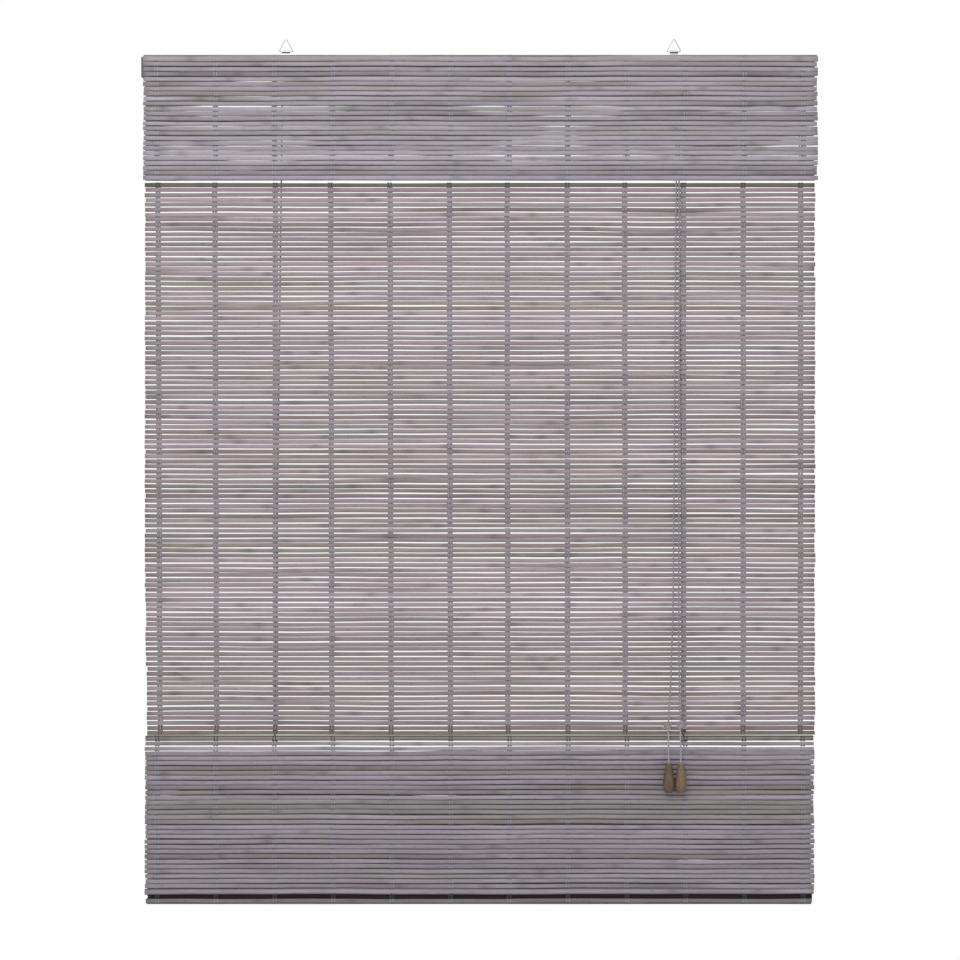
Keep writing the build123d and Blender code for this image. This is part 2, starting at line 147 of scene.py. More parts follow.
def bamboo():
    """Split bamboo under a grey wash, which the mesh's own wash attribute colours."""
    material, tree = new_material("grey_washed_bamboo")
    place = add(tree, "ShaderNodeTexCoord").outputs["Object"]
    along = add(tree, "ShaderNodeMapping", vector=place,
                scale=(1 / FIBRE_LENGTH, 1 / FIBRE_WIDTH, 1 / FIBRE_WIDTH)).outputs[0]
    fibre = add(tree, "ShaderNodeTexNoise", vector=along, scale=1.0, detail=3.0, roughness=0.6).outputs[0]
    blotch_place = add(tree, "ShaderNodeMapping", vector=place,
                       scale=(1 / STAIN_LENGTH, 1 / STAIN_WIDTH, 1 / STAIN_WIDTH)).outputs[0]
    blotch = add(tree, "ShaderNodeTexNoise", vector=blotch_place, scale=1.0, detail=2.0).outputs[0]
    dark_mark = add(tree, "ShaderNodeMapRange", value=blotch, from_min=0.58, from_max=0.76,
                to_min=1.0, to_max=0.70).outputs[0]
    streak = add(tree, "ShaderNodeMapRange", value=fibre, from_min=0.3, from_max=0.7,
                 to_min=0.80, to_max=1.14).outputs[0]
    shade = add(tree, "ShaderNodeMath", {"operation": "MULTIPLY"}, _0=streak, _1=dark_mark).outputs[0]
    wash = add(tree, "ShaderNodeAttribute", {"attribute_name": "wash"}).outputs["Color"]
    colour = add(tree, "ShaderNodeVectorMath", {"operation": "SCALE"}, _0=wash, _3=shade).outputs[0]
    relief = add(tree, "ShaderNodeBump", height=fibre, strength=0.35, distance=0.0003).outputs[0]
    surface = add(tree, "ShaderNodeBsdfPrincipled", base_color=colour, roughness=0.62, ior=1.5, normal=relief)
    add(tree, "ShaderNodeOutputMaterial", surface=surface.outputs[0])
    return material


BAMBOO = bamboo()
print("bamboo fibre:", FIBRE_WIDTH * 1000, "mm wide")

# %% [markdown]
# ## Spun thread and twisted cord
# Warp threads and cords are spun polyester: matt and slightly fuzzy. The hollows between the plies are
# modelled, and painted shade in each mesh's lit attribute darkens them, so the shader only needs a fine
# speckle and a soft sheen, which gives the pale rim that fibres show at a grazing angle.

# %% Thread and cord materials
FUZZ_SIZE = 0.0004


def yarn(name, pale, dark):
    """Spun fibre that goes from dark to pale with the speckle and with the painted shade in the mesh's lit
    attribute.
    """
    material, tree = new_material(name)
    place = add(tree, "ShaderNodeTexCoord").outputs["Object"]
    speckle = add(tree, "ShaderNodeTexNoise", vector=place, scale=1 / FUZZ_SIZE, detail=2.0).outputs[0]
    amount = add(tree, "ShaderNodeMapRange", value=speckle, from_min=0.3, from_max=0.65,
                 to_min=0.55, to_max=1.0).outputs[0]
    level = add(tree, "ShaderNodeAttribute", {"attribute_name": "lit"}).outputs["Fac"]
    amount = add(tree, "ShaderNodeMath", {"operation": "MULTIPLY"}, _0=amount, _1=level).outputs[0]
    colour = add(tree, "ShaderNodeMix", {"data_type": "RGBA"}, _0=amount, _6=linear(dark), _7=linear(pale))
    relief = add(tree, "ShaderNodeBump", height=speckle, strength=0.3, distance=0.0001).outputs[0]
    surface = add(tree, "ShaderNodeBsdfPrincipled", base_color=colour.outputs[2], roughness=0.8,
                  sheen_weight=0.25, normal=relief)
    add(tree, "ShaderNodeOutputMaterial", surface=surface.outputs[0])
    return material


# The dark colour of each yarn is reached mostly where the lit attribute holds painted shade
THREAD = yarn("spun_warp_thread", "#cfccdc", "#232128")
CORD = yarn("twisted_polyester_cord", "#e2dbe0", "#463f44")
print("yarn materials:", THREAD.name, CORD.name)

# %% [markdown]
# ## Stained pine and turned wood
# The rail and the lift batten are planed pine under a dark stain, which soaks in more between the growth
# rings than on them, so the grain stays visible as long narrow bands. The bottom batten has the same grain
# but is coloured near black, as painted shade for the deep pocket inside the hem. The pulls were turned
# from a harder wood, then waxed: the grain runs along the axis of the lathe, and the wax gives a soft
# highlight.

# %% Wood materials
def wood(name, light, dark, ring_width, grain_length, axis, roughness, ior=1.5):
    """Wood with growth bands a ring_width wide and a grain_length long along one axis."""
    material, tree = new_material(name)
    place = add(tree, "ShaderNodeTexCoord").outputs["Object"]
    scale = [1 / ring_width] * 3
    scale[axis] = 1 / grain_length
    grain_place = add(tree, "ShaderNodeMapping", vector=place, scale=scale).outputs[0]
    grain = add(tree, "ShaderNodeTexNoise", vector=grain_place, scale=1.0, detail=4.0,
                roughness=0.65).outputs[0]
    amount = add(tree, "ShaderNodeMapRange", value=grain, from_min=0.32, from_max=0.68).outputs[0]
    colour = add(tree, "ShaderNodeMix", {"data_type": "RGBA"}, _0=amount, _6=linear(dark), _7=linear(light))
    gloss = add(tree, "ShaderNodeMapRange", value=grain, to_min=roughness - 0.06,
                to_max=roughness + 0.1).outputs[0]
    relief = add(tree, "ShaderNodeBump", height=grain, strength=0.2, distance=0.0003).outputs[0]
    surface = add(tree, "ShaderNodeBsdfPrincipled", base_color=colour.outputs[2], roughness=gloss,
                  ior=ior, normal=relief)
    add(tree, "ShaderNodeOutputMaterial", surface=surface.outputs[0])
    return material


PINE = wood("stained_pine", "#7b7a70", "#4d4b45", 0.0022, 0.12, 0, 0.55)
# Painted shade: the bottom batten is coloured near black, with a low ior that cuts its reflection, for the
# dark pocket inside the hem's fold
PINE_PAINTED_AS_SHADE = wood("pine_painted_as_shade", "#302d2b", "#211f1e", 0.0022, 0.12, 0, 0.8, ior=1.2)
LEFT_PULL_WOOD = wood("turned_waxed_wood_dark", "#725e48", "#46382a", 0.0016, 0.03, 2, 0.38)
RIGHT_PULL_WOOD = wood("turned_waxed_wood", "#877259", "#584837", 0.0016, 0.03, 2, 0.38)
print("wood materials:", PINE.name, LEFT_PULL_WOOD.name, RIGHT_PULL_WOOD.name)

# %% [markdown]
# ## Plated steel and moulded plastic
# Loops, straps, screws and eyes are drawn or pressed steel with a thin zinc coat. Zinc is bright but
# slightly cloudy, so its roughness wanders over a few millimetres. The guide rings are moulded nylon,
# off-white, with the faint mottle of a tumbled moulding.

# %% Metal and plastic materials
CLOUD_SIZE = 0.004
MOTTLE_SIZE = 0.0015


def zinc_steel():
    """Steel with a thin, slightly cloudy coat of zinc."""
    material, tree = new_material("zinc_plated_steel")
    place = add(tree, "ShaderNodeTexCoord").outputs["Object"]
    cloud = add(tree, "ShaderNodeTexNoise", vector=place, scale=1 / CLOUD_SIZE, detail=3.0).outputs[0]
    gloss = add(tree, "ShaderNodeMapRange", value=cloud, from_min=0.3, from_max=0.7,
                to_min=0.25, to_max=0.45).outputs[0]
    tint = add(tree, "ShaderNodeMix", {"data_type": "RGBA"}, _0=cloud, _6=linear("#9c9da1"),
               _7=linear("#c9cacd")).outputs[2]
    surface = add(tree, "ShaderNodeBsdfPrincipled", base_color=tint, metallic=1.0, roughness=gloss)
    add(tree, "ShaderNodeOutputMaterial", surface=surface.outputs[0])
    return material


def nylon():
    """Off-white nylon with a faint mottle."""
    material, tree = new_material("moulded_nylon")
    place = add(tree, "ShaderNodeTexCoord").outputs["Object"]
    mottle = add(tree, "ShaderNodeTexNoise", vector=place, scale=1 / MOTTLE_SIZE, detail=2.0).outputs[0]
    tint = add(tree, "ShaderNodeMix", {"data_type": "RGBA"}, _0=mottle, _6=linear("#cfcbc0"),
               _7=linear("#e2ded4")).outputs[2]
    relief = add(tree, "ShaderNodeBump", height=mottle, strength=0.15, distance=0.0001).outputs[0]
    surface = add(tree, "ShaderNodeBsdfPrincipled", base_color=tint, roughness=0.5, ior=1.53, normal=relief)
    add(tree, "ShaderNodeOutputMaterial", surface=surface.outputs[0])
    return material


STEEL = zinc_steel()
NYLON = nylon()
print("steel and nylon are ready")

# %% [markdown]
# ## Pull cords
# Two cords come over the top of the mat behind the valance and hang down in front of it to the pulls.
# Each is a smooth line first, drawn by a few control points, and then a rope of two strands wound
# round that line. Loose fibres make a used cord a little wider than its strands. When the blind
# rises, the first pleat carries a cord's upper stretch forward while the rest hangs from the pleat's
# foot, so a cord is made as two lengths that meet there.

# %% Cord helpers
CORD_TOP_Z = -0.03385
VALANCE_FOOT_Z = -0.1763
CARRY_Z = joints["cord_carry"][2]
KNOT_Z = -0.983
PULL_TOP_Z = -1.0397
CORD_SEAT_Z = -1.0517
CORD_BACK_Y = -0.0243
KNOT_Y = -0.03168
PULL_Y = -0.0322
EXIT_X = {"left": 0.2933, "right": 0.297}
KNOT_X = {"left": 0.2804, "right": 0.2982}
PULL_X = {"left": 0.281, "right": 0.2992}
CORD_DIAMETER = 0.0022
CORD_RIDGE = 0.005
STATIONS_PER_RIDGE = 6
CORD_SIDES = 12
FLUFF = 1.14
STRAND_MEAN, STRAND_SWELL = 0.92, 0.12
# Painted shade on the cord: darker overall above the knots, and darker in the hollows between the strands
UPPER_CORD_SHADE_LEVEL = 0.72
UPPER_SHADE_MEAN, UPPER_SHADE_SWING = 0.55, 0.45
LOWER_SHADE_MEAN, LOWER_SHADE_SWING = 0.56, 0.08


def smooth_line(name, control):
    """Points along the smooth curve that the control points pull into shape."""
    curve = bpy.data.curves.new(name, "CURVE")
    curve.dimensions = "3D"
    curve.resolution_u = 48
    spline = curve.splines.new("NURBS")
    spline.points.add(len(control) - 1)
    for point, place in zip(spline.points, control):
        point.co = (*place, 1.0)
    spline.order_u = 3
    spline.use_endpoint_u = True
    holder = bpy.data.objects.new(name, curve)
    scene.collection.objects.link(holder)
    bpy.context.view_layer.update()
    mesh = bpy.data.meshes.new_from_object(holder)
    line = np.array([vertex.co[:] for vertex in mesh.vertices])
    bpy.data.objects.remove(holder)
    bpy.data.meshes.remove(mesh)
    return line


def even_steps(line, step):
    """The same line with points a step apart, and the distance of each along it."""
    run = np.concatenate([[0], np.cumsum(np.linalg.norm(np.diff(line, axis=0), axis=1))])
    distance = np.linspace(0, run[-1], max(2, round(run[-1] / step) + 1))
    return np.column_stack([np.interp(distance, run, line[:, k]) for k in range(3)]), distance


def tube_faces(stations, sides, first=0):
    """The quads of a tube, with a cap at each end."""
    quads = []
    for i in range(stations - 1):
        a = first + i * sides
        b = a + sides
        quads += [(a + k, a + (k + 1) % sides, b + (k + 1) % sides, b + k) for k in range(sides)]
    last = first + (stations - 1) * sides
    caps = [tuple(first + k for k in reversed(range(sides))), tuple(last + k for k in range(sides))]
    return quads + caps


def rope_points(line, radius, sides=CORD_SIDES, level=UPPER_CORD_SHADE_LEVEL):
    """Two strands wound round a line: the vertices, how pale each is, and the number of stations.

    Painted shade: above its knot the cord is darkened overall and in the hollows between the strands; below
    it the shade is lighter and more even.
    """
    points, distance = even_steps(line, CORD_RIDGE / STATIONS_PER_RIDGE)
    tangent = np.gradient(points, axis=0)
    tangent /= np.linalg.norm(tangent, axis=1)[:, None]
    aside = np.cross(tangent, (0.0, 1.0, 0.0))
    aside /= np.linalg.norm(aside, axis=1)[:, None]
    ahead = np.cross(tangent, aside)
    angle = np.linspace(0, 2 * math.pi, sides, endpoint=False)[None, :]
    ridge = np.cos(2 * angle - 2 * math.pi * distance[:, None] / CORD_RIDGE)
    reach = FLUFF * radius * (STRAND_MEAN + STRAND_SWELL * ridge)
    below_knot = (points[:, 2] < KNOT_Z)[:, None]
    shade = np.where(below_knot, LOWER_SHADE_MEAN + LOWER_SHADE_SWING * ridge, level * (UPPER_SHADE_MEAN + UPPER_SHADE_SWING * ridge))
    vertices = points[:, None, :] + (reach * np.cos(angle))[..., None] * aside[:, None, :] \
        + (reach * np.sin(angle))[..., None] * ahead[:, None, :]
    return vertices.reshape(-1, 3), shade.ravel(), len(points)


def mesh_piece(name, vertices, faces, material, lit=None, wash=None):
    """A smooth-shaded object from vertices and faces, with its colour attributes."""
    mesh = bpy.data.meshes.new(name)
    mesh.from_pydata(np.asarray(vertices).tolist(), [], faces)
    mesh.polygons.foreach_set("use_smooth", [True] * len(mesh.polygons))
    if lit is not None:
        mesh.attributes.new("lit", "FLOAT", "POINT").data.foreach_set("value", np.asarray(lit, np.float32))
    if wash is not None:
        mesh.attributes.new("wash", "FLOAT_COLOR", "POINT").data.foreach_set(
            "color", np.asarray(wash, np.float32).ravel())
    mesh.materials.append(material)
    piece = bpy.data.objects.new(name, mesh)
    scene.collection.objects.link(piece)
    return piece


def rope(name, line):
    """A length of cord along a line."""
    vertices, lit, stations = rope_points(line, CORD_DIAMETER / 2)
    return mesh_piece(name, vertices, tube_faces(stations, CORD_SIDES), CORD, lit=lit)


print("cord ridges:", CORD_RIDGE * 1000, "mm apart")

# %% [markdown]
# ## Where the cords hang
# The route's points are the ones the solid cord follows: down behind the valance, past its foot, through
# the knot and into the pull. The upper length ends where the first pleat's foot carries the cord. A cord
# that has been tied keeps slight kinks, each given by how far it strays aside and how high it is above
# the knot.

# %% Pull cords
KINKS = {"left": [(0.0080, 0.187), (0.0051, 0.112), (0.0029, 0.042), (0.0004, 0.023), (0.0024, 0.012),
                  (-0.001, 0.005)],
         "right": [(-0.0028, 0.15), (-0.0008, 0.04)]}


def kink(side, away, rise):
    """A point of the cord that strays a little from its straight way to the knot."""
    back = (CORD_BACK_Y - KNOT_Y) * rise / (VALANCE_FOOT_Z - KNOT_Z)
    return KNOT_X[side] + away, KNOT_Y + back, KNOT_Z + rise


first_fold = joints["lift"][2]
carry_share = (VALANCE_FOOT_Z - CARRY_Z) / (VALANCE_FOOT_Z - KNOT_Z)
upper_lengths = {}
lower_lengths = {}
for side in ("left", "right"):
    carry = (EXIT_X[side] + (KNOT_X[side] - EXIT_X[side]) * carry_share,
             CORD_BACK_Y + (KNOT_Y - CORD_BACK_Y) * carry_share, CARRY_Z)
    top = (EXIT_X[side], CORD_BACK_Y, CORD_TOP_Z)
    upper_line = smooth_line("upper_route", [top, (EXIT_X[side], CORD_BACK_Y, VALANCE_FOOT_Z), carry])
    kinks = [kink(side, away, rise) for away, rise in KINKS[side]]
    lower_line = smooth_line("lower_route", [carry, *kinks, (KNOT_X[side], KNOT_Y, KNOT_Z),
                                             (PULL_X[side], PULL_Y, PULL_TOP_Z),
                                             (PULL_X[side], PULL_Y, CORD_SEAT_Z)])
    upper = rope(f"pull_cord_{side}_upper", upper_line)
    lower = rope(f"pull_cord_{side}_lower", lower_line)
    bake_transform(upper)
    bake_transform(lower)
    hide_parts(f"pull_cord_{side}")
    upper_lengths[side] = (upper, upper_line, top)
    lower_lengths[side] = (lower, lower_line, carry)
    print(side, "cord vertices:", len(upper.data.vertices) + len(lower.data.vertices))

# %% [markdown]
# ## Lift cords and cross cords
# Behind the mat each lift cord runs straight through its guide rings to the lift batten. As the blind
# rises the cord shortens. The short cross cords under the rail keep the solid's shape and only take the
# cord's finish.

# %% Lift cords
# Where each cord leaves the rail and where it ends, across the mat
LIFT_CORDS = {"left": (-0.2955, -0.307), "right": (0.297, 0.304)}
LIFT_CORD_Y = -0.0145
LIFT_CORD_END_Z = -1.0062
BATTEN_BORE_Z = -0.998

for side, (top_x, end_x) in LIFT_CORDS.items():
    line = np.array([(top_x, LIFT_CORD_Y, CORD_TOP_Z), (end_x, LIFT_CORD_Y, BATTEN_BORE_Z),
                     (end_x, LIFT_CORD_Y, LIFT_CORD_END_Z)])
    cord = rope(f"lift_cord_{side}_rope", line)
    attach(cord, "head")
    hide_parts(f"lift_cord_{side}")
    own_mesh(cord)
    print(side, "lift cord:", round(CORD_TOP_Z - LIFT_CORD_END_Z, 3), "m")

# %% [markdown]
# ## Knots
# An overhand knot is the simplest knot that doesn't slip. Its line is the trefoil curve, squeezed
# until the turns touch. The pull cords' knots also leave small bows and a tail, where the spare end
# of the cord was tucked in.

# %% Knots
KNOT_TURN = 0.0016
LIFT_KNOT_TURN = KNOT_TURN * 0.9
KNOT_ROPE_RADIUS = CORD_DIAMETER * 0.36
KNOT_ROPE_SIDES = 8
KNOT_LEVEL = 0.95
KNOT_LEAN = {"left": math.radians(200), "right": math.radians(-20)}
KNOT_DEPTH = 1.1
BIG_BOW, SMALL_BOW, BOW_SPREAD = 0.0044, 0.0038, 1.3
BOW_WIDTH, BOW_FORWARD = 0.45, 0.3
TAIL = [(0.0, 0.0, 0.0), (0.003, -0.001, 0.001), (0.006, -0.001, -0.002), (0.0105, 0.0, -0.003)]


def trefoil(centre, size):
    """The closed curve of an overhand knot, seen from the front."""
    t = np.linspace(0, 2 * math.pi, 60)
    shape = np.column_stack([np.sin(t) + 2 * np.sin(2 * t), -KNOT_DEPTH * np.sin(3 * t),
                             np.cos(t) - 2 * np.cos(2 * t)])
    return np.array(centre) + size * shape


def bow(centre, size, lean):
    """A small teardrop loop that leans out of a knot."""
    t = np.linspace(0, 2 * math.pi, 30)
    out = size * (1 - np.cos(t))
    wide = BOW_WIDTH * size * np.sin(t)
    return np.array(centre) + np.column_stack([out * math.cos(lean) - wide * math.sin(lean),
                                               -BOW_FORWARD * out,
                                               out * math.sin(lean) + wide * math.cos(lean)])


def knot(name, lines, body, node):
    """Ropes tied into one piece."""
    vertices, lit, faces = [], [], []
    for line in lines:
        points, shade, stations = rope_points(line, KNOT_ROPE_RADIUS, sides=KNOT_ROPE_SIDES, level=KNOT_LEVEL)
        faces += tube_faces(stations, KNOT_ROPE_SIDES, first=sum(len(v) for v in vertices))
        vertices.append(points)
        lit.append(shade)
    piece = mesh_piece(name, np.concatenate(vertices), faces, CORD, lit=np.concatenate(lit))
    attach(piece, body)
    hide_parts(node)
    return piece


pull_knots = {}
for side, lean in KNOT_LEAN.items():
    centre = np.array((KNOT_X[side], KNOT_Y, KNOT_Z))
    lines = [trefoil(centre, KNOT_TURN), bow(centre, BIG_BOW, lean),
             bow(centre, SMALL_BOW, lean + BOW_SPREAD)]
    if side == "right":
        lines.append(smooth_line("tail", [centre + step for step in TAIL]))
    pull_knots[side] = knot(f"knot_{side}", lines, f"pull_{side}", f"cord_knot_{side}")
for side, (_, end_x) in LIFT_CORDS.items():
    middle = sum(corner.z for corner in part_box(f"lift_knot_{side}")) / 2
    knot(f"lift_knot_{side}_tied", [trefoil((end_x, LIFT_CORD_Y, middle), LIFT_KNOT_TURN)], "hem",
         f"lift_knot_{side}")
print("knots tied:", len(KNOT_LEAN) + len(LIFT_CORDS))

for side in ("left", "right"):
    upper, upper_line, top = upper_lengths[side]
    lower, lower_line, carry = lower_lengths[side]
    for piece, line, start, end, carried in ((upper, upper_line, top, "object", []),
                                             (lower, lower_line, carry, "fitting",
                                              [pull_knots[side], frame["nodes"][f"wooden_pull_{side}"]])):
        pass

# %% [markdown]
# ## The line that each stretch of mat follows
# The mat is one weave that goes round three ways: over the rail as the valance, straight down as the
# pleats, and round the bottom batten as the hem. A place on it is a distance along the weave, and each
# function below turns that distance into a y, a z and the angle that the mat has turned.

# %% Stretches of mat
MAT_HALF = 0.5
PITCH = 0.00737
SLAT_HEIGHT = 0.0059
SLAT_THICKNESS = 0.0019
VALANCE_TOP_ROWS = 2
VALANCE_ROWS = 25
UPPER_ROWS = 25
PLEATS = 8
ROWS_PER_PLEAT = 14
HEM_FRONT_ROWS = 33
HEM_BACK_ROWS = 30
HEM_OPEN_ROW = 32
RAIL_CORNER = 0.0025
HEM_TURN = 0.005
HEM_DROP = 0.0034

mat_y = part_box("upper_mat")[0].y + SLAT_THICKNESS / 2
last_fold = joints["fold_9"][2]
corner_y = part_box("valance_mat")[0].y + SLAT_THICKNESS / 2 + RAIL_CORNER
corner_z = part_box("valance_mat")[1].z - SLAT_THICKNESS / 2 - RAIL_CORNER
turn_z = last_fold - HEM_FRONT_ROWS * PITCH - HEM_DROP


def hanging(top):
    """Straight down from a height."""
    return lambda s: (mat_y, top - s, 0.0)


def over_rail(s):
    """Forward over the rail's top, round its front edge and down."""
    flat = VALANCE_TOP_ROWS * PITCH
    bend = RAIL_CORNER * math.pi / 2
    if s < flat:
        return corner_y + flat - s, corner_z + RAIL_CORNER, math.pi / 2
    if s < flat + bend:
        angle = math.pi / 2 - (s - flat) / RAIL_CORNER
        return corner_y - RAIL_CORNER * math.cos(angle), corner_z + RAIL_CORNER * math.sin(angle), angle
    return corner_y - RAIL_CORNER, corner_z - (s - flat - bend), 0.0


def round_hem(s):
    """Down the front, round the bottom batten and up behind."""
    down = HEM_FRONT_ROWS * PITCH + HEM_DROP
    bend = math.pi * HEM_TURN
    if s < down:
        return mat_y, last_fold - s, 0.0
    if s < down + bend:
        angle = -(s - down) / HEM_TURN
        return mat_y + HEM_TURN * (1 - math.cos(angle)), turn_z + HEM_TURN * math.sin(angle), angle
    return mat_y + 2 * HEM_TURN, turn_z + (s - down - bend), -math.pi


def rows(count, start=0.0):
    """The distance along the weave of the middle of each row."""
    return [start + (i + 0.5) * PITCH for i in range(count)]


hem_distances = rows(int(HEM_FRONT_ROWS + HEM_BACK_ROWS + math.pi * HEM_TURN / PITCH))
hem_open = hem_distances.pop(HEM_OPEN_ROW)
print("last fold", round(last_fold, 4), "hem rows", len(hem_distances))

# %% [markdown]
# ## How a weave wanders
# Bamboo is never straight. Rows creep up or down together by a millimetre or two over a hand's width,
# and each slat also has a bow of its own. Where two neighbours bow towards each other the gap
# closes, and behind the valance the gaps of the two layers line up in places and let daylight through.
# The creep dies out at a fold, so that no slat crosses into the next pleat. Each stretch also has a few
# odd rows: darker in colour, from a stain on some rows and painted shade on others, wider or narrower than
# the rest, darker along the edges as painted shade, or pushed out of place.

# %% Drift and bow
rng = np.random.default_rng(11)
EASE = 0.025

# Each wave's share, its length across the mat and along the weave, and how far the phase shifts it
CREEP_WAVES = ((0.55, 0.43, math.inf, 1.0), (0.30, 0.19, 0.11, 2.3), (0.15, 0.083, -0.16, 4.1))

UPPER_SET_BACK = -0.0012
HEM_SET_BACK = 0.0041
SET_BACK_FROM, SET_BACK_ROWS = HEM_FRONT_ROWS + 2, 4
HEM_SAG = 0.0011
SAG_FROM, SAG_TO, SAG_ROWS = 3, 12, 8
RIGHT_RISE, RISE_FROM, RISE_WIDTH = 0.0013, -0.10, 0.05

# By row number: a darker colour, stain on some rows and painted shade on others, how much taller, how bright
# the edges stay (dim edges are painted shade), and how far it is pushed down
VALANCE_ODD = {2: (None, 1.22, 1.0, -0.0006)}
# Painted shadow: pleat 1's first row is darkened brown under the valance. The last two rows of pleat 8, over
# the lift batten, are coloured darker brown. The dim edges of all three are painted shade
PLEAT_ODD = {0: {0: ("#655d59", 1.0, 0.8, 0.0)},
             7: {12: ("#8b807b", 1.0, 0.8, 0.0), 13: ("#867a75", 0.97, 0.6, -0.0002)}}
# Painted shade in the hem: row 0 is browner, with its edges darkened as painted shade; row 31 has dark edges
# for its shaded lower side; row 32, under the fold, is darkened as painted shade
HEM_ODD = {0: ("#978b86", 1.14, 0.12, 0.0004), 1: (None, 0.87, 1.0, 0.0012), 2: (None, 0.88, 1.0, 0.0014),
           31: (None, 1.34, 0.5, 0.0006), 32: ("#867f82", 1.0, 0.7, 0.0)}
PLAIN_ROW = (None, 1.0, 1.0, 0.0)

# How far the slats reach past the mat's nominal sides
PLEAT_LEFT_REACH, PLEAT_REACH, PLEAT_RIGHT_REACH = {6: -0.0005, 7: -0.0022}, 0.0007, 0.0008
HEM_FRONT_REACH, HEM_BACK_REACH = (0.0007, -0.0005), (-0.0008, -0.0038)


def creep(x, s, length, amount, phase):
    """How far the rows near a place have crept along the weave: a long wave and two shorter ones."""
    wave = sum(share * np.sin(2 * math.pi * (x / across + s / along + turns * phase))
               for share, across, along, turns in CREEP_WAVES)
    return amount * wave * np.clip(np.minimum(s, length - s) / EASE, 0, 1)


def no_set_back(s, x):
    """For a stretch whose rows stay in place."""
    return 0.0


class Stretch:
    """One stretch of mat: its line, its rows, and how it wanders."""

    def __init__(self, name, body, place, distances, creep_amount, bow_amount, row_amount, sides,
                 tint="#ffffff", taller=1.0, odd=None, set_back=no_set_back, drifts=False, open_rows=(),
                 thread_level=1.0):
        self.name = name
        self.body = body
        self.place = place
        self.distances = distances
        self.length = distances[-1] + PITCH / 2
        self.creep_amount = creep_amount
        self.bow_amount = bow_amount
        self.sides = sides
        self.row_amount = row_amount
        self.tint = np.array(linear(tint)[:3])
        self.taller = taller
        self.odd = odd or {}
        self.set_back = set_back
        self.drifts = drifts
        self.open_rows = list(open_rows)
        self.thread_level = thread_level
        self.phase = rng.random()


def hem_set_back(s, x):
    """In front the hem sags a little, less at the right; behind, its rows stand half a row off those."""
    row = s / PITCH
    right = np.clip((x - RISE_FROM) / RISE_WIDTH, 0, 1)
    sag = (HEM_SAG - RIGHT_RISE * right) * min(1.0, max(0.0, SAG_TO - row) / SAG_ROWS)
    behind = HEM_SET_BACK * min(1.0, max(0.0, row - SET_BACK_FROM) / SET_BACK_ROWS)
    return behind + (sag if row > SAG_FROM else 0.0)


def hem_sides(s):
    """The hem's slats reach a little less far once it has turned under."""
    return HEM_FRONT_REACH if s < hem_open else HEM_BACK_REACH


valance_front = VALANCE_TOP_ROWS * PITCH + RAIL_CORNER * math.pi / 2
upper_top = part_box("upper_mat")[1].z + (PITCH - SLAT_HEIGHT) / 2
stretches = [
    Stretch("valance", "head", over_rail, rows(VALANCE_TOP_ROWS) + rows(VALANCE_ROWS, valance_front),
            creep_amount=0.0006, bow_amount=0.00026, row_amount=0.0005, sides=(0.0027, 0.0040),
            tint="#fcfafd", taller=1.11, odd=VALANCE_ODD),
    Stretch("upper", "head", hanging(upper_top), rows(UPPER_ROWS),
            creep_amount=0.0010, bow_amount=0.0003, row_amount=0.0011, sides=(0.0, 0.0),
            taller=0.95, set_back=lambda s, x: UPPER_SET_BACK, drifts=True)]
for n in range(PLEATS):
    top = first_fold - n * ROWS_PER_PLEAT * PITCH
    stretches.append(Stretch(
        f"pleat_{n + 1}", f"pleat_{n + 1}", hanging(top), rows(ROWS_PER_PLEAT),
        creep_amount=0.0005, bow_amount=0.00036, row_amount=0.0001,
        sides=(PLEAT_LEFT_REACH.get(n, PLEAT_REACH), PLEAT_RIGHT_REACH),
        tint="#eee5e3", taller=1.03, odd=PLEAT_ODD.get(n), drifts=True, thread_level=0.85))
stretches.append(Stretch(
    "hem", "hem", round_hem, hem_distances,
    creep_amount=0.0006, bow_amount=0.00028, row_amount=0.0002, sides=hem_sides,
    tint="#eeebed", taller=1.09, odd=HEM_ODD, set_back=hem_set_back, open_rows=[hem_open],
    thread_level=0.85))
print(len(stretches), "stretches,", sum(len(s.distances) for s in stretches), "slats")

# %% [markdown]
# ## Slats
# A slat is a strip split from a culm: flat behind, gently domed in front, its edges softened by
# sanding. It is made as a row of small cross-sections along its length, so it can bow, twist and
# change thickness. Its wash is chosen from the greys, mauves and browns that a batch of bamboo takes
# up, and it fades from one to another along the slat. Every so often a node, where the culm had a
# joint, leaves a darker mark and a slight swelling.

# %% Slat meshes
STATIONS = 72
SECTION = np.array([(-0.46, -0.5), (0.46, -0.5), (0.5, -0.2), (0.44, 0.22), (0.2, 0.46), (-0.2, 0.46),
                    (-0.44, 0.22), (-0.5, -0.2)]) * (SLAT_HEIGHT, SLAT_THICKNESS)
WASHES = np.array([linear(code)[:3] for code in ("#a79fa8", "#a29ba0", "#9c9797", "#958d8b", "#b0a9b0",
                                                 "#8c8384")])
WASH_SHARES = (0.38, 0.28, 0.12, 0.05, 0.12, 0.05)
BOW_LIMIT, BOW_AT_FOLD = 1.6, 0.35
HEIGHT_SPREAD, HEIGHT_LIMITS, TILT_SPREAD = 0.05, (-1.5, 1), 0.03
ROW_LIGHT, SLOW_LIGHT, FADE_STEEPNESS = 0.08, 0.06, 3
RAGGED_LEFT, RAGGED_RIGHT = 0.0016, 0.0020
NODES, NODE_LENGTH, NODE_SWELLING, NODE_DARKENING = 4, 0.007, 0.05, 0.3
DARK_MARK_SHARE, UNDERSIDE_SHADE, EDGE_ZONE = 0.75, 0.86, 0.4
DARKEST, PALEST = 0.02, 0.9


def slow_noise(size, knots):
    """Random values that change smoothly from knot to knot along the slats, one row for each slat."""
    values = rng.normal(size=(size, knots))
    at = np.linspace(0, knots - 1.001, STATIONS)
    left = at.astype(int)
    share = at - left
    share = share * share * (3 - 2 * share)
    return values[:, left] * (1 - share) + values[:, left + 1] * share


